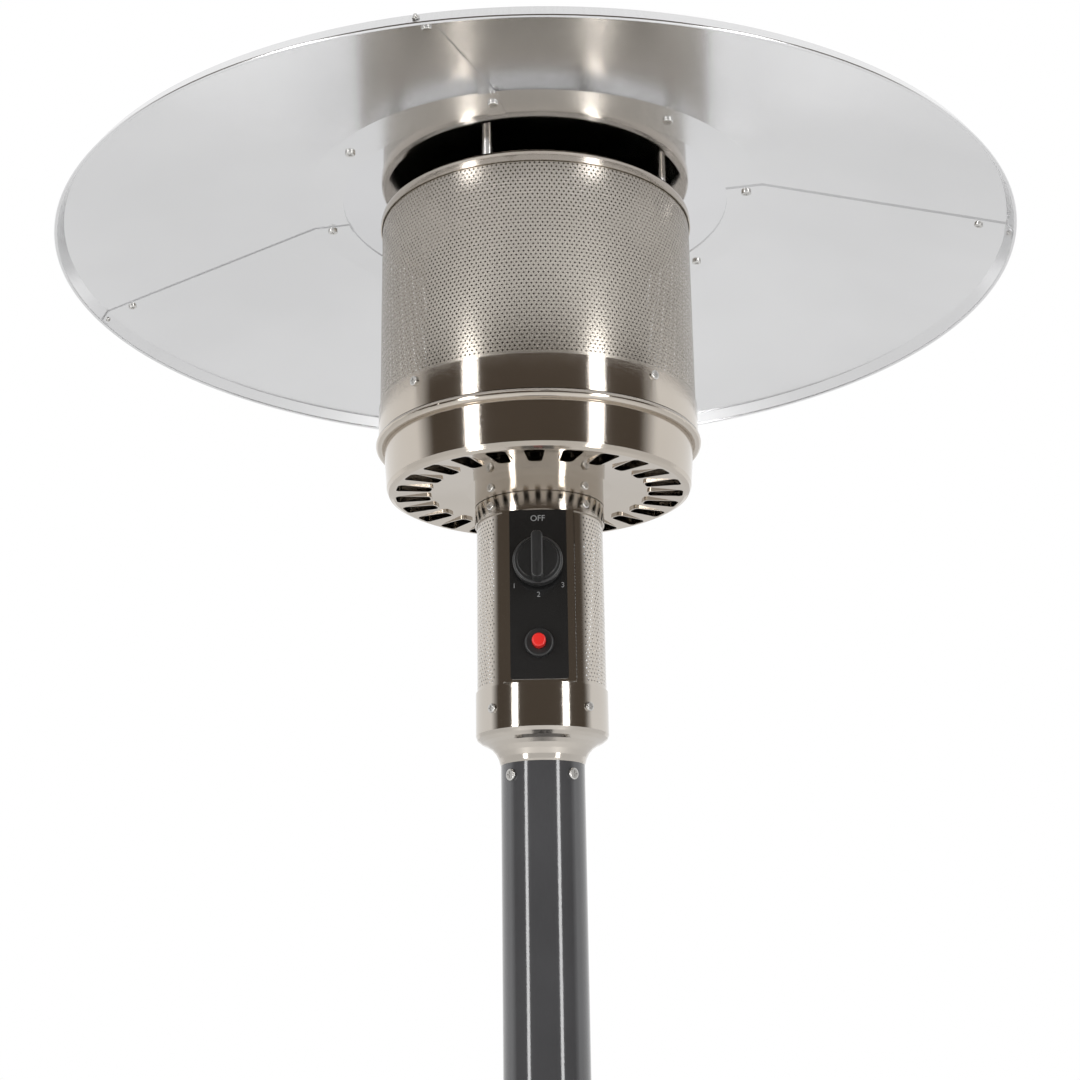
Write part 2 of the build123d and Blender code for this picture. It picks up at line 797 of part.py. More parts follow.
def valve_body():
    """Cast valve with a front boss, inlet below and outlet above."""
    body = block(-valve_half, valve_half, -valve_front, -valve_back, knob_z - 17, knob_z + 17)
    body = fillet(body.edges().filter_by(Axis.Y), 3.0)
    body = body + rod(rotor_radius + 3.0, (0, -valve_front - 10.0, knob_z), (0, 1, 0), 12.0)
    body = body + block(-valve_half, valve_half, -38.4, -valve_front, knob_z - 9, knob_z + 9)
    body = body + rod(6.5, (0, gas_pipe_y, knob_z + 16), (0, 0, 1), 8)
    body = body + rod(7.5, (0, gas_pipe_y, knob_z - 30), (0, 0, 1), 14)
    bore = rod(rotor_radius + running_gap, (0, -valve_front - 20, knob_z), (0, 1, 0), 20 + rotor_length)
    body = body - bore
    body = body - rod(gas_pipe_radius + running_gap, (0, gas_pipe_y, knob_z - 31), (0, 0, 1), 11)
    return body


def valve_rotor():
    """Turning core of the valve, with the stem's square socket."""
    end = -valve_front + rotor_length - 0.4
    core = rod(rotor_radius, (0, end - 30.0, knob_z), (0, 1, 0), 30.0)
    half = stem_side / 2 + running_gap
    socket = block(-half, half, end - 40, end - 2.0, knob_z - half, knob_z + half)
    return core - socket


def valve_stem():
    """Square stem that slides in the rotor and carries the knob."""
    half = stem_side / 2
    inner = -valve_front + rotor_length - 2.4 - push_travel - 0.4
    return block(-half, half, -(knob_base + 14.0), inner, knob_z - half, knob_z + half)


def knob():
    """Black knob: a skirt, a tapered body and a grip bar with a pointer groove."""
    plane = Plane(origin=(0, -knob_base, knob_z), z_dir=(0, -1, 0), x_dir=(1, 0, 0))
    low = (Align.CENTER, Align.CENTER, Align.MIN)
    skirt = Cylinder(knob_radius, knob_skirt_length, align=low)
    skirt = fillet(skirt.edges().sort_by(Axis.Z)[-1], 2.5)
    body = Pos(0, 0, knob_skirt_length - 2.6) * Cone(knob_radius - 2.2, knob_radius - 4.0, 6.0, align=low)
    grip_height = knob_length - knob_skirt_length + 1.0
    grip = Pos(0, 0, knob_skirt_length - 1.0) * Box(knob_grip_width, knob_radius * 1.9, grip_height, align=low)
    grip = fillet(grip.edges().filter_by(Axis.Z), knob_grip_width * 0.42)
    grip = fillet(grip.edges().sort_by(Axis.Z)[-8:], 1.2)
    shape = skirt + body + grip
    pointer = Pos(0, -knob_radius * 0.62, knob_length + 0.6) * Box(1.6, knob_radius * 0.6, 2.0)
    shape = shape - pointer
    half = stem_side / 2 + 0.01
    socket = Pos(0, 0, -1) * Box(2 * half, 2 * half, 15.2, align=low)
    hollow = Pos(0, 0, -1) * Cylinder(rotor_radius + 2.0, 1 + knob_skirt_length - 2.5, align=low)
    return plane * (shape - socket - hollow)


# Igniter

bezel_front = panel_front + bezel_length


def igniter_body():
    """Spark unit behind the panel, with its threaded neck through it."""
    back = -frame_front + thin_sheet + igniter_length
    neck_radius = igniter_radius - 1.0
    body = rod(igniter_radius, (0, -frame_front + thin_sheet + 6.0, button_z), (0, 1, 0), igniter_length - 6.0)
    body = body + rod(neck_radius, (0, -bezel_front + 1.2, button_z), (0, 1, 0), bezel_front - frame_front + 8.0)
    body = body + rod(2.0, (0, back - 1, button_z), (0, 1, 0), 6.0)
    bore = rod(4.0 + running_gap, (0, -bezel_front - 5, button_z), (0, 1, 0), 30)
    mouth = rod(button_radius + 0.35, (0, -bezel_front, button_z), (0, 1, 0), 1.2 + button_travel + 0.6)
    return body - bore - mouth


def igniter_nut():
    """Nut behind the panel's frame on the igniter's neck."""
    plane_y = -frame_front + thin_sheet
    return nut((0, plane_y, button_z), (0, 1, 0), 12.0, 4.0, igniter_radius - 1.0 + running_gap)


def igniter_bezel():
    """Round black ring in front of the panel."""
    plane = Plane(origin=(0, -panel_front, button_z), z_dir=(0, -1, 0))
    low = (Align.CENTER, Align.CENTER, Align.MIN)
    ring = Cylinder(bezel_radius, bezel_length, align=low)
    ring = fillet(ring.edges().sort_by(Axis.Z)[-1], 1.8)
    neck = Cylinder(igniter_radius - 1.0 + running_gap, bezel_length - 1.2 + 0.02, align=low)
    bore = Cylinder(button_radius + 0.35, 30, align=(Align.CENTER, Align.CENTER, Align.CENTER))
    return plane * (ring - neck - bore)


def igniter_button():
    """Red push cap."""
    plane = Plane(origin=(0, -(bezel_front - 1.0), button_z), z_dir=(0, -1, 0))
    low = (Align.CENTER, Align.CENTER, Align.MIN)
    cap = Cylinder(button_radius, button_length - 1.0, align=low)
    cap = fillet(cap.edges().sort_by(Axis.Z)[-1], 1.6)
    socket = Pos(0, 0, -1) * Cylinder(1.6, 5.0, align=low)
    return plane * (Pos(0, 0, button_travel - 3.6) * (cap - socket))


def igniter_plunger():
    """Plunger between the cap and the spark unit."""
    start = -(bezel_front - 1.0) - (button_travel - 3.6) - 3.8
    pin = rod(1.58, (0, start, button_z), (0, 1, 0), 8.0)
    slider = rod(4.0, (0, start + 4.4, button_z), (0, 1, 0), 12.0)
    return pin + slider


def tilt_switch():
    """Small can on the valve that shuts off the gas when the heater tips."""
    bottom = knob_z - 12
    can = rod(8.5, (0, -valve_back + 9.0, bottom), (0, 0, 1), 24.0)
    tab = block(-7, 7, -valve_back, -valve_back + 3.0, bottom + 4, bottom + 20)
    return can + tab


def outlet_pipe():
    """Pipe from the valve's outlet to the jet."""
    path = Spline(
        (0, gas_pipe_y, knob_z + 24.0),
        (0, gas_pipe_y, knob_z + 27.0),
        (0, -2, knob_z + 31.0),
        (0, 0, knob_z + 34.0),
        tangents=((0, 0, 1), (0, 0, 1)),
    )
    start = Plane(origin=path @ 0, z_dir=path % 0)
    return sweep(start * Circle(gas_pipe_radius), path)


def main_jet():
    """Brass jet holder below the mixer."""
    bottom = knob_z + 34.0
    body = rod(6.0, (0, 0, bottom), (0, 0, 1), 5.0)
    plug = rod(mixer_radius - mixer_wall - running_gap, (0, 0, bottom + 5.0), (0, 0, 1), 3.0)
    return body + plug - rod(0.6, (0, 0, bottom - 1), (0, 0, 1), 20)


def gas_pipe():
    """Straight pipe up the pole to the valve's inlet."""
    bottom = pole_foot_height - foot_plate_thickness - 13.9
    pipe = rod(gas_pipe_radius, (0, gas_pipe_y, bottom), (0, 0, 1), knob_z - 20.3 - bottom)
    return pipe - rod(pipe_bore, (0, gas_pipe_y, bottom - 1), (0, 0, 1), knob_z - bottom)


# Pole

def pole():
    """Pole tube, from the foot plate to the neck."""
    tube_body = tube(pole_radius, pole_radius - pole_wall, pole_foot_height, neck_end)
    for z in (neck_end - 10.0, pole_foot_height + 22.0):
        for drill in side_drill(pole_radius, z):
            tube_body = tube_body - drill
    return tube_body


def pole_screws(z):
    """Four screws through the pole's wall."""
    return around(screw((0, -pole_radius, z), (0, -1, 0), screw_shank, 6.0, 4.8, 2.6), 4, 45)


def pole_foot():
    """Foot plate with the spigot that the pole stands over."""
    plate_bottom = pole_foot_height - foot_plate_thickness
    low = (Align.CENTER, Align.CENTER, Align.MIN)
    plate = Pos(0, 0, plate_bottom) * Cylinder(foot_plate_radius, foot_plate_thickness, align=low)
    spigot_outer = pole_radius - pole_wall - running_gap
    plate = plate + tube(spigot_outer, spigot_outer - 2.0, plate_bottom, pole_foot_height + foot_spigot_length)
    plate = plate - rod(gas_pipe_radius + running_gap, (0, gas_pipe_y, plate_bottom - 1), (0, 0, 1), 10)
    for drill in side_drill(pole_radius, pole_foot_height + 22.0):
        plate = plate - drill
    for drill in around(rod(3.05, (0, -46.0, plate_bottom - 1), (0, 0, 1), 8), leg_count, 0):
        plate = plate - drill
    return plate


def inlet_elbow():
    """Brass inlet that a hose screws on to, below the foot plate."""
    top = pole_foot_height - foot_plate_thickness
    body = nut((0, gas_pipe_y, top - 14.0), (0, 0, 1), 9.0, 14.0, gas_pipe_radius + running_gap)
    body = body + rod(7.0, (0, gas_pipe_y, top - 20.0), (0, 0, 1), 6.0)
    side = rod(5.5, (0, gas_pipe_y, top - 21.0), (0, 1, 0), 24.0)
    side = side - rod(3.0, (0, gas_pipe_y, top - 21.0), (0, 1, 0), 30.0)
    thread = rod(6.5, (0, gas_pipe_y + 12, top - 21.0), (0, 1, 0), 12.0)
    thread = thread - rod(3.0, (0, 0, top - 21.0), (0, 1, 0), 30.0)
    return body + side + thread


# Legs, base and tank housing

def support_leg():
    """Flat strip from the base up and in to the pole's foot plate."""
    plate_bottom = pole_foot_height - foot_plate_thickness
    path = [
        (leg_radius - leg_tab, base_height),
        (leg_radius, base_height),
        (leg_radius, leg_bend_height),
        (foot_plate_radius + 10.0, plate_bottom),
        (36.0, plate_bottom),
    ]
    outline = thick(path, leg_thickness)
    face = Plane.YZ * make_face(Polyline(*[(-r, z) for r, z in outline], close=True))
    leg = extrude(face, leg_width / 2, both=True)
    leg = leg - rod(3.05, (0, -46.0, plate_bottom - 10), (0, 0, 1), 20)
    return leg - rod(3.05, (0, -(leg_radius - leg_tab / 2), base_height - 5), (0, 0, 1), 20)


def leg_bolts():
    """Bolts of the legs, with nuts above the foot plate and below the base."""
    plate_bottom = pole_foot_height - foot_plate_thickness
    top_length = leg_thickness + foot_plate_thickness + 6.0
    top = screw((0, -46.0, plate_bottom - leg_thickness), (0, 0, -1), 3.0, top_length, 5.5, 3.2)
    foot_y = -(leg_radius - leg_tab / 2)
    foot_length = leg_thickness + base_sheet + 6.0
    foot = screw((0, foot_y, base_height + leg_thickness), (0, 0, 1), 3.0, foot_length, 5.5, 3.2)
    return around(top, leg_count, 0) + around(foot, leg_count, 0)


def leg_nuts():
    """Nuts of the leg bolts."""
    top = nut((0, -46.0, pole_foot_height), (0, 0, 1), 5.8, 4.5, 3.05)
    foot = nut((0, -(leg_radius - leg_tab / 2), base_height - base_sheet), (0, 0, -1), 5.8, 4.5, 3.05)
    return around(top, leg_count, 0) + around(foot, leg_count, 0)


def base_pan():
    """Round pan that the heater stands on, with a ledge that centres the housing."""
    path = [
        (base_radius - base_flange_width, 0),
        (base_radius, 0),
        (base_radius, 8.0),
        (base_radius - 3.0, base_height - ledge_height - 10.0),
        (base_radius - 8.0, base_height - ledge_height - 3.0),
        (base_radius - 16.0, base_height - ledge_height),
        (ledge_radius, base_height - ledge_height),
        (ledge_radius - 3.0, base_height),
        (0, base_height),
    ]
    pan = spun(thick(path, base_sheet))
    hole = rod(3.05, (0, -(leg_radius - leg_tab / 2), base_height - 5), (0, 0, 1), 10)
    for drill in around(hole, leg_count, 0):
        pan = pan - drill
    for x in (-bracket_bolt_x, bracket_bolt_x):
        pan = pan - rod(3.05, (x, bracket_bolt_y, base_height - ledge_height - 5), (0, 0, 1), 10)
    return pan


def tank_housing():
    """Tall cylinder round the tank, with rolled edges and two ribs."""
    bottom = base_height - ledge_height + seat_gap
    shell = tube(housing_radius, housing_radius - sheet, bottom, housing_top)
    for z in (bottom + 2.4, bottom + 60.0, housing_top - 40.0):
        rib = Plane.XZ * Pos(housing_radius - 0.4, z) * Circle(2.4)
        rib = revolve(rib, Axis.Z) - Pos(0, 0, z) * Cylinder(housing_radius - sheet, 10)
        shell = shell + rib
    for drill in around(rod(screw_hole, (0, -housing_radius - 5, housing_top - 7.0), (0, 1, 0), 12), 4, 45):
        shell = shell - drill
    return shell


def housing_cover():
    """Low cone that closes the cylinder round the pole."""
    inner = housing_radius - sheet - seat_gap
    path = [
        (inner, housing_top - 14.0),
        (inner, housing_top + 1.0),
        (inner + 2.2, housing_top + 1.4),
        (inner + 2.2, housing_top + 4.0),
        (inner - 4.0, housing_top + 8.0),
        (cover_flat_radius + 4.0, cover_top - 2.0),
        (cover_flat_radius, cover_top),
        (cover_bore, cover_top),
    ]
    cover = spun(thick(path, sheet))
    for drill in around(rod(screw_hole, (0, -housing_radius - 5, housing_top - 7.0), (0, 1, 0), 12), 4, 45):
        cover = cover - drill
    return cover


def cover_screws():
    """Screws through the cylinder into the cover's skirt."""
    return around(screw((0, -housing_radius, housing_top - 7.0), (0, -1, 0), screw_shank, 6.0, 4.2, 2.2), 4, 45)


def cover_grommet():
    """Black ring in the cover's bore, which slides on the pole."""
    inner = pole_radius + grommet_gap
    groove = cover_bore - running_gap
    low = cover_top - sheet
    outline = [
        (inner, low - 4.0),
        (cover_bore + 4.0, low - 4.0),
        (cover_bore + 4.0, low),
        (groove, low),
        (groove, cover_top),
        (cover_bore + 5.0, cover_top),
        (cover_bore + 4.0, cover_top + 4.0),
        (inner + 1.0, cover_top + 7.0),
        (inner, cover_top + 7.0),
    ]
    return spun(outline)


# Wheels

ledge_z = base_height - ledge_height
ear_low = axle_height - 9.0


def axle_bracket():
    """Plate on the base's rim with two ears for the axle."""
    top = ledge_z + bracket_thickness
    bracket = block(-bracket_half_width, bracket_half_width, 180.0, axle_distance + 8, ledge_z, top)
    for side in (-1, 1):
        outer = side * bracket_half_width
        inner = side * (bracket_half_width - bracket_thickness)
        ear = block(min(outer, inner), max(outer, inner), axle_distance - 12, axle_distance + 8, ear_low, ledge_z + 1)
        bracket = bracket + ear
    bracket = bracket - rod(axle_radius + running_gap, (-200, axle_distance, axle_height), (1, 0, 0), 400)
    bracket = bracket - rod(housing_radius + 5.0, (0, 0, ledge_z - 5), (0, 0, 1), 30)
    for x in (-bracket_bolt_x, bracket_bolt_x):
        bracket = bracket - rod(3.05, (x, bracket_bolt_y, ledge_z - 5), (0, 0, 1), 20)
    return bracket


def bracket_bolts():
    """Two bolts of the axle bracket."""
    seat = ledge_z + bracket_thickness
    length = bracket_thickness + base_sheet + 6.0
    bolt = screw((0, bracket_bolt_y, seat), (0, 0, 1), 3.0, length, 5.2, 3.0)
    return [Pos(x, 0, 0) * bolt for x in (-bracket_bolt_x, bracket_bolt_x)]


def bracket_nuts():
    """Nuts of the axle bracket, under the base."""
    seat = ledge_z - base_sheet
    one = nut((0, bracket_bolt_y, seat), (0, 0, -1), 5.8, 4.5, 3.05)
    return [Pos(x, 0, 0) * one for x in (-bracket_bolt_x, bracket_bolt_x)]


def axle():
    """Steel axle through the ears and both wheels."""
    half = wheel_offset + wheel_width + 7.0
    return rod(axle_radius, (-half, axle_distance, axle_height), (1, 0, 0), 2 * half)


def wheel(side):
    """Moulded wheel with a dished web and a hub."""
    plane = Plane(origin=(side * wheel_offset, axle_distance, axle_height), z_dir=(side, 0, 0))
    low = (Align.CENTER, Align.CENTER, Align.MIN)
    tread = Cylinder(wheel_radius, wheel_width, align=low)
    tread = fillet(tread.edges().filter_by(GeomType.CIRCLE), 3.0)
    for start in (-1.0, wheel_width - 7.0):
        dish = Pos(0, 0, start) * (Cylinder(wheel_radius - 6.0, 8.0, align=low) - Cylinder(11.0, 8.0, align=low))
        tread = tread - dish
    bore = Pos(0, 0, -1) * Cylinder(wheel_bore, wheel_width + 2, align=low)
    return plane * (tread - bore)


def axle_washers():
    """Washers between the bracket's ears and the wheels."""
    washers = []
    for side in (-1, 1):
        start = (side * bracket_half_width, axle_distance, axle_height)
        length = wheel_offset - bracket_half_width - 0.5
        washer = rod(8.0, start, (side, 0, 0), length) - rod(axle_radius + running_gap, start, (side, 0, 0), length)
        washers.append(washer)
    return washers


def axle_caps():
    """Push-on caps at the axle's ends."""
    caps = []
    for side in (-1, 1):
        start = (side * (wheel_offset + wheel_width + 0.5), axle_distance, axle_height)
        cap = rod(8.0, start, (side, 0, 0), 8.5)
        cap = cap - rod(axle_radius, start, (side, 0, 0), 6.5)
        caps.append(cap)
    return caps


os.makedirs("parts", exist_ok=True)

panel = reflector_panel()
for number, turn in enumerate((0, 90, 180, 270), start=1):
    write(f"reflector_panel_{number}", at_angle(panel, turn))
write("reflector_disc", reflector_disc())
write("reflector_screws", flange_screws() + seam_screws())
write("reflector_nuts", flange_nuts() + seam_nuts())
write("studs", studs() + stud_sleeves() + stud_nuts())
write("wing_nuts", around(wing_nut(), stud_count, stud_angle))

write("emitter_cap", emitter_cap())
write("emitter_screen", emitter_screen())
write("emitter_band", emitter_band())
write("emitter_band_screws", emitter_band_screws())
write("bowl", bowl())
write("burner_cup", burner_cup())
write("burner_plate", burner_plate())
write("inner_screen", inner_screen())
write("screen_stand", screen_stand())
write("mixer_tube", mixer_tube())
write("pilot_bracket", pilot_bracket())
write("pilot_burner", pilot_part(-10.0, 6.0, 8.0, 2.2, 2.8))
write("thermocouple", pilot_part(0.0, 10.0, 10.0, 2.2, 1.6))
write("spark_electrode", pilot_part(10.0, 12.0, 8.0, 2.2, 0.9))

write("upper_ring", upper_ring())
write("lower_ring", lower_ring())
write("collar_sleeve", collar_sleeve())
write("collar_screws", collar_screws() + burner_screws() + base_band_screws())
write("barrel", barrel())
write("base_band", base_band())
write("panel_frame", panel_frame())
write("control_panel", control_panel())
write("valve_bracket", valve_bracket())
write("valve_body", valve_body())
write("valve_rotor", valve_rotor())
write("valve_stem", valve_stem())
write("knob", knob())
write("igniter_body", igniter_body())
write("igniter_nut", igniter_nut())
write("igniter_bezel", igniter_bezel())
write("igniter_button", igniter_button())
write("igniter_plunger", igniter_plunger())
write("tilt_switch", tilt_switch())
write("main_jet", outlet_pipe() + main_jet())

write("pole", pole())
write("pole_screws", pole_screws(neck_end - 10.0) + pole_screws(pole_foot_height + 22.0))
write("pole_foot", pole_foot())
write("gas_pipe", gas_pipe())
write("inlet_elbow", inlet_elbow())
write("support_legs", around(support_leg(), leg_count, 0))
write("leg_bolts", leg_bolts() + bracket_bolts() + leg_nuts() + bracket_nuts())
write("base_pan", base_pan())
write("tank_housing", tank_housing())
write("housing_cover", housing_cover())
write("cover_screws", cover_screws())
write("cover_grommet", cover_grommet())
write("axle_bracket", axle_bracket())
write("axle", axle())
write("wheel_left", wheel(-1))
write("wheel_right", wheel(1))
write("axle_caps", axle_washers() + axle_caps())
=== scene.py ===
import math

import bpy
from mathutils import Matrix, Vector


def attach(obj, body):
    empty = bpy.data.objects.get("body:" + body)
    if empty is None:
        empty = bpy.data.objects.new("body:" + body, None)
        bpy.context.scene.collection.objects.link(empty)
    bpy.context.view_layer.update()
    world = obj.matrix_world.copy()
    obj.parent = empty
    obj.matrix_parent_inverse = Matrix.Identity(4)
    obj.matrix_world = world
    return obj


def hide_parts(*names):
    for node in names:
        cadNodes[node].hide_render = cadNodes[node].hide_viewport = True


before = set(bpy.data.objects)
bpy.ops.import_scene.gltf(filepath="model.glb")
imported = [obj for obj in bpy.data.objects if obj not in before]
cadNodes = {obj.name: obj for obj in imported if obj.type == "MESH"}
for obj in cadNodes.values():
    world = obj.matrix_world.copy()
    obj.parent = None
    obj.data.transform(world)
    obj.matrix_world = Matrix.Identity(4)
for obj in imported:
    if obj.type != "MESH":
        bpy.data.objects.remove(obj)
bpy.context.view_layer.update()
print("frame loaded:", len(cadNodes), "nodes")


# materials

def startMaterial(name):
    mat = bpy.data.materials.new(name)
    mat.use_nodes = True
    tree = mat.node_tree
    shader = tree.nodes["Principled BSDF"]
    return mat, tree, shader


def addNoise(tree, scale, detail=4.0, stretch=(1, 1, 1), roughness=0.5):
    # noise on Object coordinates, stretched by a Mapping node
    coords = tree.nodes.new("ShaderNodeTexCoord")
    mapping = tree.nodes.new("ShaderNodeMapping")
    mapping.inputs["Scale"].default_value = stretch
    noise = tree.nodes.new("ShaderNodeTexNoise")
    noise.inputs["Scale"].default_value = scale
    noise.inputs["Detail"].default_value = detail
    noise.inputs["Roughness"].default_value = roughness
    tree.links.new(coords.outputs["Object"], mapping.inputs["Vector"])
    tree.links.new(mapping.outputs["Vector"], noise.inputs["Vector"])
    return noise


def addRamp(tree, source, low, high, start=0.3, end=0.7):
    ramp = tree.nodes.new("ShaderNodeValToRGB")
    ramp.color_ramp.elements[0].position = start
    ramp.color_ramp.elements[1].position = end
    ramp.color_ramp.elements[0].color = (*low, 1)
    ramp.color_ramp.elements[1].color = (*high, 1)
    tree.links.new(source, ramp.inputs["Fac"])
    return ramp


def addRange(tree, source, low, high):
    spread = tree.nodes.new("ShaderNodeMapRange")
    spread.inputs["To Min"].default_value = low
    spread.inputs["To Max"].default_value = high
    tree.links.new(source, spread.inputs["Value"])
    return spread


def addBump(tree, shader, source, strength, distance):
    bump = tree.nodes.new("ShaderNodeBump")
    bump.inputs["Strength"].default_value = strength
    bump.inputs["Distance"].default_value = distance
    tree.links.new(source, bump.inputs["Height"])
    tree.links.new(bump.outputs["Normal"], shader.inputs["Normal"])


def brushedMetal(name, dark, light, smooth, rough, stretch, grain=60.0, depth=0.04):
    # sheet metal: fine rolled grain, faint clouding of colour and gloss
    mat, tree, shader = startMaterial(name)
    shader.inputs["Metallic"].default_value = 1.0
    cloud = addNoise(tree, 6.0, 3.0)
    colour = addRamp(tree, cloud.outputs["Fac"], dark, light)
    tree.links.new(colour.outputs["Color"], shader.inputs["Base Color"])
    lines = addNoise(tree, grain, 6.0, stretch, 0.65)
    gloss = addRange(tree, lines.outputs["Fac"], smooth, rough)
    tree.links.new(gloss.outputs["Result"], shader.inputs["Roughness"])
    addBump(tree, shader, lines.outputs["Fac"], depth, 0.001)
    return mat


def radialMetal(name, dark, light, smooth, rough, depth=0.02):
    # grain runs out from the pole, as on a pressed cone panel
    mat, tree, shader = startMaterial(name)
    shader.inputs["Metallic"].default_value = 1.0
    coords = tree.nodes.new("ShaderNodeTexCoord")
    split = tree.nodes.new("ShaderNodeSeparateXYZ")
    turn = tree.nodes.new("ShaderNodeMath")
    turn.operation = "ARCTAN2"
    length = tree.nodes.new("ShaderNodeVectorMath")
    length.operation = "LENGTH"
    join = tree.nodes.new("ShaderNodeCombineXYZ")
    mapping = tree.nodes.new("ShaderNodeMapping")
    mapping.inputs["Scale"].default_value = (160, 6, 1)
    noise = tree.nodes.new("ShaderNodeTexNoise")
    noise.inputs["Scale"].default_value = 1.0
    noise.inputs["Detail"].default_value = 5.0
    tree.links.new(coords.outputs["Object"], split.inputs["Vector"])
    tree.links.new(split.outputs["Y"], turn.inputs[0])
    tree.links.new(split.outputs["X"], turn.inputs[1])
    tree.links.new(coords.outputs["Object"], length.inputs[0])
    tree.links.new(turn.outputs["Value"], join.inputs["X"])
    tree.links.new(length.outputs["Value"], join.inputs["Y"])
    tree.links.new(join.outputs["Vector"], mapping.inputs["Vector"])
    tree.links.new(mapping.outputs["Vector"], noise.inputs["Vector"])
    cloud = addNoise(tree, 4.0, 3.0)
    colour = addRamp(tree, cloud.outputs["Fac"], dark, light)
    tree.links.new(colour.outputs["Color"], shader.inputs["Base Color"])
    gloss = addRange(tree, noise.outputs["Fac"], smooth, rough)
    tree.links.new(gloss.outputs["Result"], shader.inputs["Roughness"])
    addBump(tree, shader, noise.outputs["Fac"], depth, 0.0006)
    return mat


def paintCoat(name, dark, light, smooth, rough, orange=420.0, depth=0.05, coat=0.0):
    # sprayed paint: orange peel, faint clouding, patchy gloss
    mat, tree, shader = startMaterial(name)
    shader.inputs["Coat Weight"].default_value = coat
    shader.inputs["Coat Roughness"].default_value = 0.08
    cloud = addNoise(tree, 9.0, 5.0)
    colour = addRamp(tree, cloud.outputs["Fac"], dark, light)
    tree.links.new(colour.outputs["Color"], shader.inputs["Base Color"])
    gloss = addRange(tree, cloud.outputs["Fac"], smooth, rough)
    tree.links.new(gloss.outputs["Result"], shader.inputs["Roughness"])
    peel = addNoise(tree, orange, 2.0)
    addBump(tree, shader, peel.outputs["Fac"], depth, 0.0005)
    return mat


def mouldedPlastic(name, dark, light, smooth, rough, depth=0.12):
    mat, tree, shader = startMaterial(name)
    fine = addNoise(tree, 900.0, 3.0)
    cloud = addNoise(tree, 30.0, 4.0)
    colour = addRamp(tree, cloud.outputs["Fac"], dark, light)
    tree.links.new(colour.outputs["Color"], shader.inputs["Base Color"])
    gloss = addRange(tree, cloud.outputs["Fac"], smooth, rough)
    tree.links.new(gloss.outputs["Result"], shader.inputs["Roughness"])
    addBump(tree, shader, fine.outputs["Fac"], depth, 0.0002)
    return mat


reflectorMetal = radialMetal("reflectorMetal", (0.72, 0.72, 0.725), (0.79, 0.79, 0.795), 0.12, 0.24)
discMetal = radialMetal("discMetal", (0.70, 0.70, 0.71), (0.78, 0.78, 0.79), 0.05, 0.10, 0.01)
bandSteel = brushedMetal("bandSteel", (0.50, 0.45, 0.39), (0.60, 0.55, 0.49), 0.05, 0.13, (1, 1, 30))
screenSteel = brushedMetal("screenSteel", (0.46, 0.42, 0.37), (0.58, 0.54, 0.48), 0.20, 0.32, (1, 1, 20))
# painted shade: the parts inside the emitter and housing get a near-black steel colour that stands in for the shade
# seen through the holes
innerSteelPaintedShade = brushedMetal("innerSteelPaintedShade", (0.10, 0.085, 0.07), (0.17, 0.15, 0.13), 0.40, 0.60, (1, 1, 8))
housingSteel = brushedMetal("housingSteel", (0.50, 0.46, 0.41), (0.60, 0.56, 0.51), 0.05, 0.13, (1, 1, 30))
boltSteel = brushedMetal("boltSteel", (0.55, 0.54, 0.52), (0.68, 0.67, 0.65), 0.14, 0.28, (4, 4, 4), 90.0)
valveCasting = brushedMetal("valveCasting", (0.30, 0.30, 0.30), (0.42, 0.42, 0.42), 0.35, 0.55, (1, 1, 1), 240.0, 0.3)
brass = brushedMetal("brassTurned", (0.55, 0.38, 0.14), (0.68, 0.50, 0.22), 0.18, 0.32, (1, 1, 6), 120.0)
greyPaint = paintCoat("greyPaint", (0.040, 0.040, 0.042), (0.052, 0.052, 0.055), 0.08, 0.14, coat=0.35)
blackPaint = paintCoat("blackPaint", (0.006, 0.006, 0.006), (0.011, 0.011, 0.011), 0.18, 0.28, coat=0.3)
blackPlastic = mouldedPlastic("blackPlastic", (0.010, 0.010, 0.010), (0.018, 0.018, 0.018), 0.28, 0.42)
redPlastic = mouldedPlastic("redPlastic", (0.50, 0.012, 0.010), (0.62, 0.022, 0.016), 0.16, 0.26, 0.05)
wheelRubber = mouldedPlastic("wheelRubber", (0.013, 0.013, 0.013), (0.024, 0.024, 0.024), 0.50, 0.68)
whiteCeramic = mouldedPlastic("whiteCeramic", (0.70, 0.69, 0.66), (0.80, 0.79, 0.76), 0.15, 0.25, 0.03)
markInk = mouldedPlastic("markInk", (0.16, 0.16, 0.16), (0.22, 0.22, 0.22), 0.45, 0.60)
print("materials made")

finishOf = {
    "reflector_panel_1": reflectorMetal, "reflector_panel_2": reflectorMetal,
    "reflector_panel_3": reflectorMetal, "reflector_panel_4": reflectorMetal,
    "reflector_disc": discMetal, "emitter_cap": bandSteel, "emitter_band": bandSteel,
    "emitter_screen": screenSteel, "bowl": bandSteel, "inner_screen": innerSteelPaintedShade,
    "burner_cup": innerSteelPaintedShade, "burner_plate": innerSteelPaintedShade, "screen_stand": innerSteelPaintedShade,
    "mixer_tube": innerSteelPaintedShade, "upper_ring": housingSteel, "lower_ring": housingSteel,
    "collar_sleeve": housingSteel, "barrel": housingSteel, "base_band": housingSteel,
    "panel_frame": housingSteel, "control_panel": blackPaint, "knob": blackPlastic,
    "igniter_bezel": blackPlastic, "igniter_body": blackPlastic, "igniter_button": redPlastic,
    "valve_body": valveCasting, "tilt_switch": valveCasting, "main_jet": brass,
    "inlet_elbow": brass, "gas_pipe": brass, "pilot_burner": brass, "spark_electrode": whiteCeramic,
    "pole": greyPaint, "base_pan": greyPaint, "tank_housing": greyPaint, "housing_cover": greyPaint,
    "support_legs": greyPaint, "pole_foot": greyPaint, "axle_bracket": greyPaint,
    "wheel_left": wheelRubber, "wheel_right": wheelRubber, "cover_grommet": wheelRubber,
}
for nodeName, cadObject in cadNodes.items():
    finish = finishOf.get(nodeName, boltSteel)
    for materialSlot in cadObject.material_slots:
        materialSlot.material = finish
print("CAD nodes finished")


# shared modelling helpers

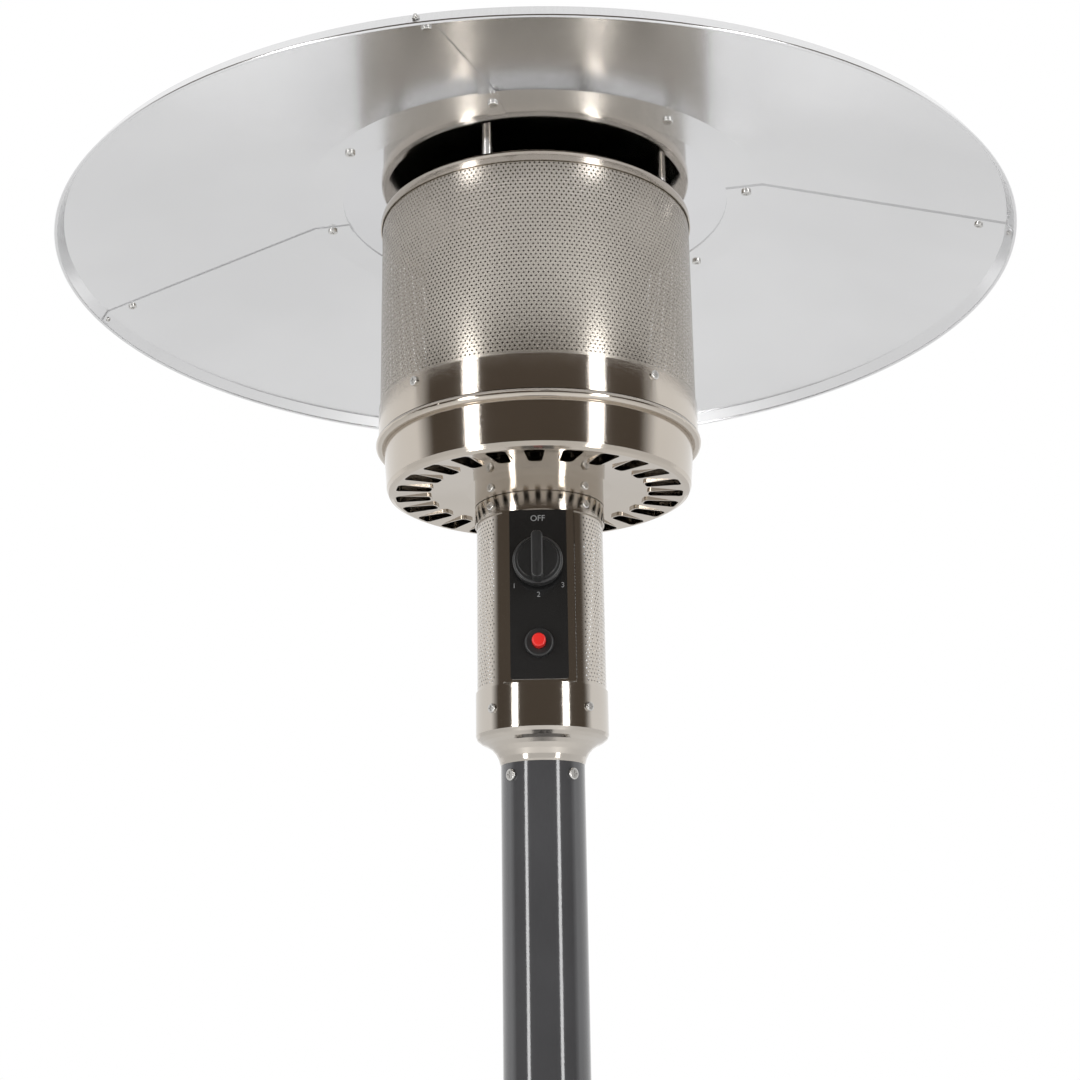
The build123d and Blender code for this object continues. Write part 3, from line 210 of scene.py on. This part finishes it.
def clearSelection():
    if bpy.context.object and bpy.context.object.mode != "OBJECT":
        bpy.ops.object.mode_set(mode="OBJECT")
    bpy.ops.object.select_all(action="DESELECT")


def settle(piece, finish, body):
    # place into the mesh, finish on, riding on its body
    clearSelection()
    piece.select_set(True)
    bpy.context.view_layer.objects.active = piece
    bpy.ops.object.transform_apply(location=True, rotation=True, scale=True)
    piece.data.materials.clear()
    piece.data.materials.append(finish)
    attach(piece, body)
    return piece


def frontAngle(x, y):
    # degrees round the pole from the front, growing toward +X
    return math.degrees(math.atan2(x, -y))


# perforated tubes

def perforatedTube(name, size):
    # a tube in half-pitch cells; every second corner is cut open into an eight-sided hole
    clearSelection()
    columns = 2 * round(2 * math.pi * size["radius"] / size["pitch"])
    rowHeight = size["pitch"] * size["rowShare"]
    height = size["top"] - size["bottom"]
    rows = round(height / rowHeight)
    middle = (size["top"] + size["bottom"]) / 2
    bpy.ops.mesh.primitive_cylinder_add(
        vertices=columns, radius=size["radius"], depth=height, end_fill_type="NOTHING", location=(0, 0, middle))
    tube = bpy.context.object
    tube.name = name
    bpy.ops.object.transform_apply(location=True, rotation=True, scale=True)
    bpy.ops.object.mode_set(mode="EDIT")
    bpy.ops.mesh.select_all(action="DESELECT")
    bpy.ops.mesh.select_mode(type="EDGE")
    bpy.ops.object.mode_set(mode="OBJECT")
    mesh = tube.data
    for edge in mesh.edges:
        a, b = (mesh.vertices[i].co for i in edge.vertices)
        edge.select = abs(a.z - b.z) > height / 2
    bpy.ops.object.mode_set(mode="EDIT")
    bpy.ops.mesh.subdivide(number_cuts=rows - 1)
    bpy.ops.mesh.select_all(action="DESELECT")
    bpy.ops.mesh.select_mode(type="VERT")
    bpy.ops.object.mode_set(mode="OBJECT")
    phase = math.atan2(mesh.vertices[0].co.y, mesh.vertices[0].co.x)
    step = 2 * math.pi / columns
    for vertex in mesh.vertices:
        co = vertex.co
        column = round((math.atan2(co.y, co.x) - phase) / step)
        row = round((co.z - size["bottom"]) / (height / rows))
        inRows = size["holesFrom"] < co.z < size["holesTo"]
        beside = abs(frontAngle(co.x, co.y)) > size["plainAngle"]
        vertex.select = (column + row) % 2 == 0 and inRows and beside
    bpy.ops.object.mode_set(mode="EDIT")
    bpy.ops.mesh.bevel(offset=size["hole"] / 2, offset_type="OFFSET", segments=2, affect="VERTICES")
    bpy.ops.mesh.select_mode(type="FACE")
    bpy.ops.mesh.delete(type="FACE")
    bpy.ops.object.mode_set(mode="OBJECT")
    if size["windowAngle"] > 0:
        # the front window, which the panel's frame closes
        for face in mesh.polygons:
            beside = abs(frontAngle(face.center.x, face.center.y)) > size["windowAngle"]
            face.select = not beside and size["windowFrom"] < face.center.z < size["windowTo"]
        bpy.ops.object.mode_set(mode="EDIT")
        bpy.ops.mesh.delete(type="FACE")
        bpy.ops.object.mode_set(mode="OBJECT")
    bpy.ops.object.shade_smooth()
    print(name, "faces", len(mesh.polygons))
    return tube


screenSize = {"radius": 0.1345, "bottom": 1.9895, "top": 2.1660, "pitch": 0.0039, "rowShare": 0.80, "hole": 0.0025,
              "holesFrom": 1.9970, "holesTo": 2.1645, "plainAngle": -1, "windowAngle": 0}
screen = settle(perforatedTube("perforated_screen", screenSize), screenSteel, "heater")
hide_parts("emitter_screen")

barrelSize = {"radius": 0.0527, "bottom": 1.7270, "top": 1.9080, "pitch": 0.0039, "rowShare": 0.80, "hole": 0.0025,
              "holesFrom": 1.7545, "holesTo": 1.8905, "plainAngle": 43,
              "windowAngle": 33, "windowFrom": 1.7510, "windowTo": 1.8925}
barrel = settle(perforatedTube("perforated_barrel", barrelSize), housingSteel, "heater")
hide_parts("barrel")
print("perforated tubes made")


# marks on the control panel

dialMarks = {"face": -0.0526, "offHeight": 1.8850, "sideHeight": 1.8290, "lowHeight": 1.8215,
             "reach": 0.0195, "wordSize": 0.0068, "numberSize": 0.0060}


def panelText(name, word, x, z, size):
    clearSelection()
    bpy.ops.object.text_add(location=(x, dialMarks["face"] - 0.0001, z), rotation=(math.pi / 2, 0, 0))
    text = bpy.context.object
    text.name = name
    text.data.body = word
    text.data.size = size
    text.data.align_x = "CENTER"
    text.data.align_y = "CENTER"
    text.data.extrude = 0.00005
    bpy.ops.object.convert(target="MESH")
    return settle(bpy.context.object, markInk, "heater")


panelText("mark_off", "OFF", 0.0, dialMarks["offHeight"], dialMarks["wordSize"])
panelText("mark_one", "1", -dialMarks["reach"], dialMarks["sideHeight"], dialMarks["numberSize"])
panelText("mark_two", "2", 0.0, dialMarks["lowHeight"], dialMarks["numberSize"])
panelText("mark_three", "3", dialMarks["reach"], dialMarks["sideHeight"], dialMarks["numberSize"])
print("marks made")


# studio

studioSize = {"floor": 30.0, "floorHeight": -0.0005,
              "floorDark": (0.78, 0.78, 0.78), "floorLight": (0.82, 0.82, 0.82)}
clearSelection()
bpy.ops.mesh.primitive_plane_add(size=studioSize["floor"], location=(0, 0, studioSize["floorHeight"]))
floor = bpy.context.object
floor.name = "studio_floor"
floorMat, floorTree, floorShader = startMaterial("studioFloor")
floorNoise = addNoise(floorTree, 2.0)
floorRamp = addRamp(floorTree, floorNoise.outputs["Fac"], studioSize["floorDark"], studioSize["floorLight"])
floorTree.links.new(floorRamp.outputs["Color"], floorShader.inputs["Base Color"])
floorShader.inputs["Roughness"].default_value = 0.6
floor.data.materials.append(floorMat)

world = bpy.data.worlds.new("studioWorld")
bpy.context.scene.world = world
world.use_nodes = True
worldTree = world.node_tree
background = worldTree.nodes["Background"]
worldCoords = worldTree.nodes.new("ShaderNodeTexCoord")
worldSplit = worldTree.nodes.new("ShaderNodeSeparateXYZ")
worldTree.links.new(worldCoords.outputs["Generated"], worldSplit.inputs["Vector"])
worldRamp = worldTree.nodes.new("ShaderNodeValToRGB")
worldRamp.color_ramp.elements[0].position = 0.42
worldRamp.color_ramp.elements[0].color = (0.10, 0.082, 0.066, 1)
worldRamp.color_ramp.elements[1].position = 0.56
worldRamp.color_ramp.elements[1].color = (1.0, 1.0, 1.0, 1)
worldShift = worldTree.nodes.new("ShaderNodeMapRange")
worldShift.inputs["From Min"].default_value = -1.0
worldShift.inputs["From Max"].default_value = 1.0
worldTree.links.new(worldSplit.outputs["Y"], worldShift.inputs["Value"])
worldTree.links.new(worldShift.outputs["Result"], worldRamp.inputs["Fac"])
# the dark half of the room shows only in the metal
lightPath = worldTree.nodes.new("ShaderNodeLightPath")
worldMix = worldTree.nodes.new("ShaderNodeMix")
worldMix.data_type = "RGBA"
worldMix.inputs[6].default_value = (1.0, 1.0, 1.0, 1)
worldTree.links.new(lightPath.outputs["Is Glossy Ray"], worldMix.inputs[0])
worldTree.links.new(worldRamp.outputs["Color"], worldMix.inputs[7])
worldTree.links.new(worldMix.outputs[2], background.inputs["Color"])
background.inputs["Strength"].default_value = 1.0


def softBox(name, place, target, size, power):
    lamp = bpy.data.lights.new(name, "AREA")
    lamp.shape = "RECTANGLE"
    lamp.size = size[0]
    lamp.size_y = size[1]
    lamp.energy = power
    holder = bpy.data.objects.new(name, lamp)
    bpy.context.collection.objects.link(holder)
    holder.location = place
    direction = Vector(target) - Vector(place)
    holder.rotation_euler = direction.to_track_quat("-Z", "Y").to_euler()


# two tall strips, whose reflections are the bright bands on the round metal
stripSize = {"width": 0.42, "height": 3.0, "power": 40, "middle": 1.9}
for stripName, x, y in (("leftBox", -2.15, -2.1), ("rightBox", 2.05, -2.2)):
    softBox(stripName, (x, y, stripSize["middle"]), (0, 0, stripSize["middle"]),
            (stripSize["width"], stripSize["height"]), stripSize["power"])

# camera fitted to the rim, the emitter and the pole of the photograph
cameraFit = {"turn": 1.7, "distance": 1.3526, "height": 1.4921, "pitch": 15.70,
             "roll": 0.79, "lens": 56.0, "shift": 0.0103}
turn = math.radians(cameraFit["turn"])
pitch = math.radians(cameraFit["pitch"])
roll = math.radians(cameraFit["roll"])
forward = Vector((-math.sin(turn) * math.cos(pitch), math.cos(turn) * math.cos(pitch), math.sin(pitch)))
right = Vector((math.cos(turn), math.sin(turn), 0))
up = right.cross(forward)
rolledRight = right * math.cos(roll) - up * math.sin(roll)
rolledUp = right * math.sin(roll) + up * math.cos(roll)
camData = bpy.data.cameras.new("photoCamera")
camData.lens = cameraFit["lens"]
camData.sensor_width = 36.0
camData.shift_y = cameraFit["shift"]
camera = bpy.data.objects.new("photoCamera", camData)
bpy.context.collection.objects.link(camera)
turnMatrix = Matrix((rolledRight, rolledUp, -forward)).transposed()
cameraPlace = Vector((math.sin(turn), -math.cos(turn), 0)) * cameraFit["distance"]
cameraPlace.z = cameraFit["height"]
camera.matrix_world = Matrix.Translation(cameraPlace) @ turnMatrix.to_4x4()
bpy.context.scene.camera = camera
bpy.context.scene.view_settings.view_transform = "Standard"
print("studio set")
